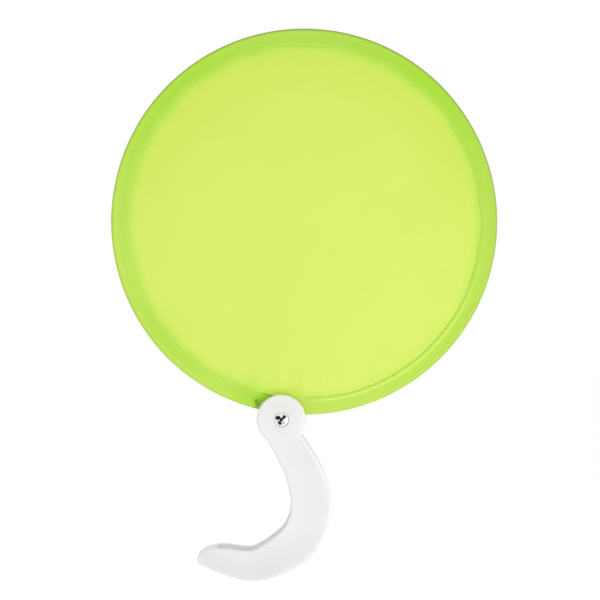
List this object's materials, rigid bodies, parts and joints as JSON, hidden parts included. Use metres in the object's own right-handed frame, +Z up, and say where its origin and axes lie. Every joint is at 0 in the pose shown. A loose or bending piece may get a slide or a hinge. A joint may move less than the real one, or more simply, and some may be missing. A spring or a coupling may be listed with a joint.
{
  "type": "collapsible disc fan",
  "caption": "Hand fan: a cloth disc stretched on a spring wire hoop, hinged to a hooked two-shell handle that clasps the folded disc.",
  "frame": {"origin": "middle of the handle's arm, at mid-thickness, where a hand holds it", "axes": "+Z up along the open fan, from the handle to the disc; +Y from the front face to the back; +X to the right, seen from the front"},
  "size_m": [0.24, 0.012, 0.3417],
  "materials": {
    "white_plastic": "satin",
    "chrome_steel": "gloss",
    "nylon_washer": "satin",
    "spring_steel": "satin",
    "lime_cloth": "matte",
    "lime_hem": "matte"
  },
  "bodies": {
    "handle": {"handle_front_shell": "white_plastic", "handle_back_shell": "white_plastic", "pivot_screw": "chrome_steel", "pivot_barrel_nut": "chrome_steel", "front_washer": "nylon_washer", "back_washer": "nylon_washer"},
    "fan_disc": {"hoop_wire": "spring_steel", "fabric_panel": "lime_cloth", "hem_binding": "lime_hem"}
  },
  "joints": [
    {"name": "disc_swing", "type": "hinge", "parent": "handle", "child": "fan_disc", "pos_m": [-0.01848, 0, 0.051], "axis": [0, -1, 0], "range_deg": [-40, 89]}
  ]
}
